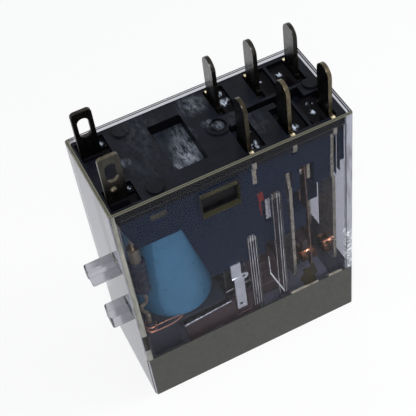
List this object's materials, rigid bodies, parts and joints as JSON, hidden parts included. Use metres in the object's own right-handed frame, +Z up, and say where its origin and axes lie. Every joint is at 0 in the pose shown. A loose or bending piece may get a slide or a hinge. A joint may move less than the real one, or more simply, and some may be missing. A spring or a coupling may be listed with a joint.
{
  "type": "plug-in relay",
  "caption": "Slim plug-in relay in a clear case with a moulded base, flat blades, an open view of the coil, armature and contact springs.",
  "frame": {"origin": "centre of the outside of the closed end of the case, on which the relay stands", "axes": "+Z up from the closed end towards the blades, X along the case with the coil end and its nibs at -X, Y across the case"},
  "size_m": [0.0326, 0.013, 0.0414],
  "materials": {
    "clear_case": "clear, slightly smoky moulded plastic",
    "band": "satin olive-grey",
    "black_moulding": "satin black moulding",
    "resin": "glossy cast resin",
    "blade_metal": "dull plated brass",
    "coil_blade_metal": "dull tinned brass",
    "contact_metal": "copper head with a bright face",
    "spring_metal": "thin copper-alloy strip",
    "iron": "plated iron",
    "clip_steel": "bright spring steel",
    "copper_wire": "enamelled copper wire",
    "blue_tape": "blue film tape",
    "card_plastic": "reddish-brown moulding",
    "lead_metal": "tinned wire",
    "diode_body": "dark glazed body"
  },
  "bodies": {
    "root": {"cover": "clear_case", "nameplate": "band", "base": "black_moulding", "sealing_resin": "resin", "coil_terminal_front": "coil_blade_metal", "coil_terminal_back": "coil_blade_metal", "nc_terminal_front": "blade_metal", "nc_terminal_back": "blade_metal", "com_terminal_front": "blade_metal", "com_terminal_back": "blade_metal", "no_terminal_front": "blade_metal", "no_terminal_back": "blade_metal", "nc_contact_front": "contact_metal", "nc_contact_back": "contact_metal", "no_contact_front": "contact_metal", "no_contact_back": "contact_metal", "core": "iron", "yoke": "iron", "bobbin": "black_moulding", "winding": "copper_wire", "coil_tape": "blue_tape", "hinge_spring": "clip_steel", "coil_post_front": "lead_metal", "coil_post_back": "lead_metal", "coil_lead_wires": "copper_wire", "back_lead": "lead_metal", "diode": "diode_body", "diode_leads": "lead_metal"},
    "armature": {"armature": "iron", "card": "card_plastic"},
    "contact_spring_front": {"contact_spring_front": "spring_metal", "moving_contact_front": "contact_metal"},
    "contact_spring_back": {"contact_spring_back": "spring_metal", "moving_contact_back": "contact_metal"}
  },
  "joints": [
    {"name": "armature_hinge", "type": "hinge", "parent": "root", "child": "armature", "pos_m": [-0.0011, 0, 0.0112], "axis": [0, 1, 0], "range_deg": [0, 6], "stiffness_Nm_per_rad": 0.004, "springref_deg": -8.59},
    {"name": "spring_flex_front", "type": "hinge", "parent": "root", "child": "contact_spring_front", "pos_m": [0.00887, -0.0032, 0.0286], "axis": [0, -1, 0], "range_deg": [0, 1.8], "stiffness_Nm_per_rad": 0.001},
    {"name": "spring_flex_back", "type": "hinge", "parent": "root", "child": "contact_spring_back", "pos_m": [0.00887, 0.0032, 0.0286], "axis": [0, -1, 0], "range_deg": [0, 1.8], "stiffness_Nm_per_rad": 0.001}
  ],
  "couplings": [
    {"joint": "spring_flex_front", "follows": "armature_hinge", "ratio": 0.3},
    {"joint": "spring_flex_back", "follows": "armature_hinge", "ratio": 0.3}
  ]
}
